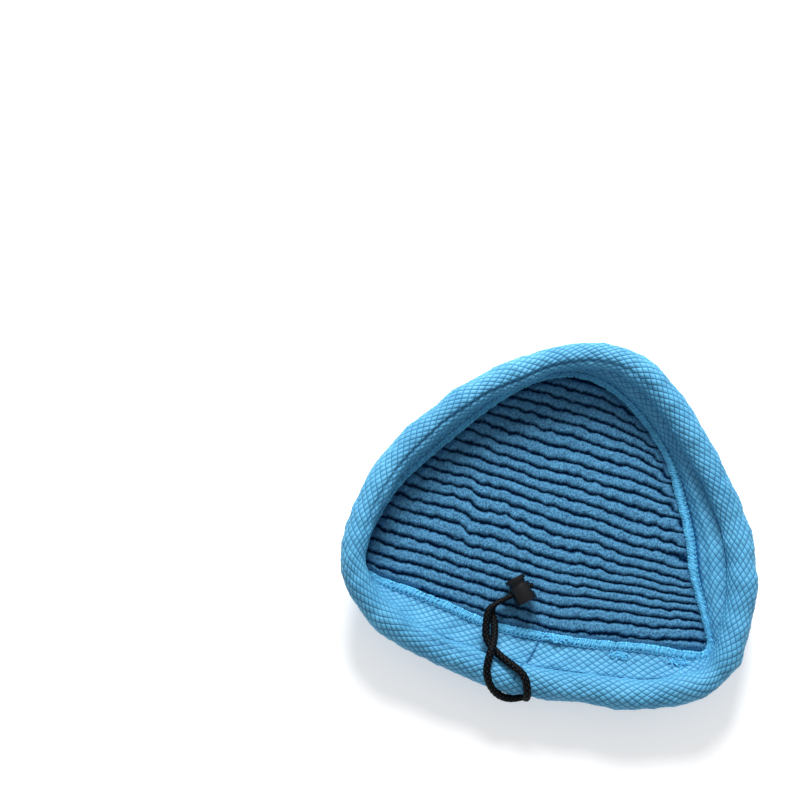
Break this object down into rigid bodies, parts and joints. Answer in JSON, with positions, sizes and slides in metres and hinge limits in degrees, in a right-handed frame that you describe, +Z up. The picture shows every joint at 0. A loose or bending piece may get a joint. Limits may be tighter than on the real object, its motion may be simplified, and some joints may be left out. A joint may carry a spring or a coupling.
{
  "type": "wash mitt",
  "caption": "Rounded-triangle chenille wash mitt lying pocket up: ribbed lining, quilted mesh band with a corded hem, and a black drawstring with a spring cord lock",
  "frame": {"origin": "on the ground under the middle of the hem's outline", "axes": "+X along the wide near edge, +Y towards the rounded tip, +Z up out of the pocket"},
  "size_m": [0.2727, 0.2436, 0.0555],
  "materials": {
    "chenille": "fuzzy chenille pile",
    "backing_knit": "plain knit",
    "lining_pile": "ribbed fleece pile",
    "air_mesh": "diamond quilted air mesh, slight sheen",
    "seam_thread": "serged polyester thread",
    "braided_cord": "braided polyester",
    "lock_plastic": "fine moulded texture",
    "spring_steel": "drawn wire"
  },
  "bodies": {
    "cover": {"chenille_pile": "chenille", "chenille_backing": "backing_knit", "ribbed_lining": "lining_pile", "mesh_band": "air_mesh", "overlock_seam": "seam_thread", "casing_stitch": "seam_thread", "band_end_seam": "seam_thread", "buttonhole": "seam_thread", "drawstring_in_casing": "braided_cord", "drawstring_tail_left": "braided_cord", "drawstring_tail_right": "braided_cord"},
    "cord_lock": {"lock_barrel": "lock_plastic", "lock_spring": "spring_steel"},
    "lock_plunger": {"lock_plunger": "lock_plastic"}
  },
  "joints": [
    {"name": "lock_slide", "type": "slide", "parent": "cover", "child": "cord_lock", "axis": [-0.766, -0.6428, 0], "range_m": [0, 0.008]},
    {"name": "plunger_press", "type": "slide", "parent": "cord_lock", "child": "lock_plunger", "axis": [0.6428, -0.766, 0], "range_m": [0, 0.0025], "stiffness_N_per_m": 400, "springref_m": -0.004, "deforming": ["lock_spring"]}
  ]
}
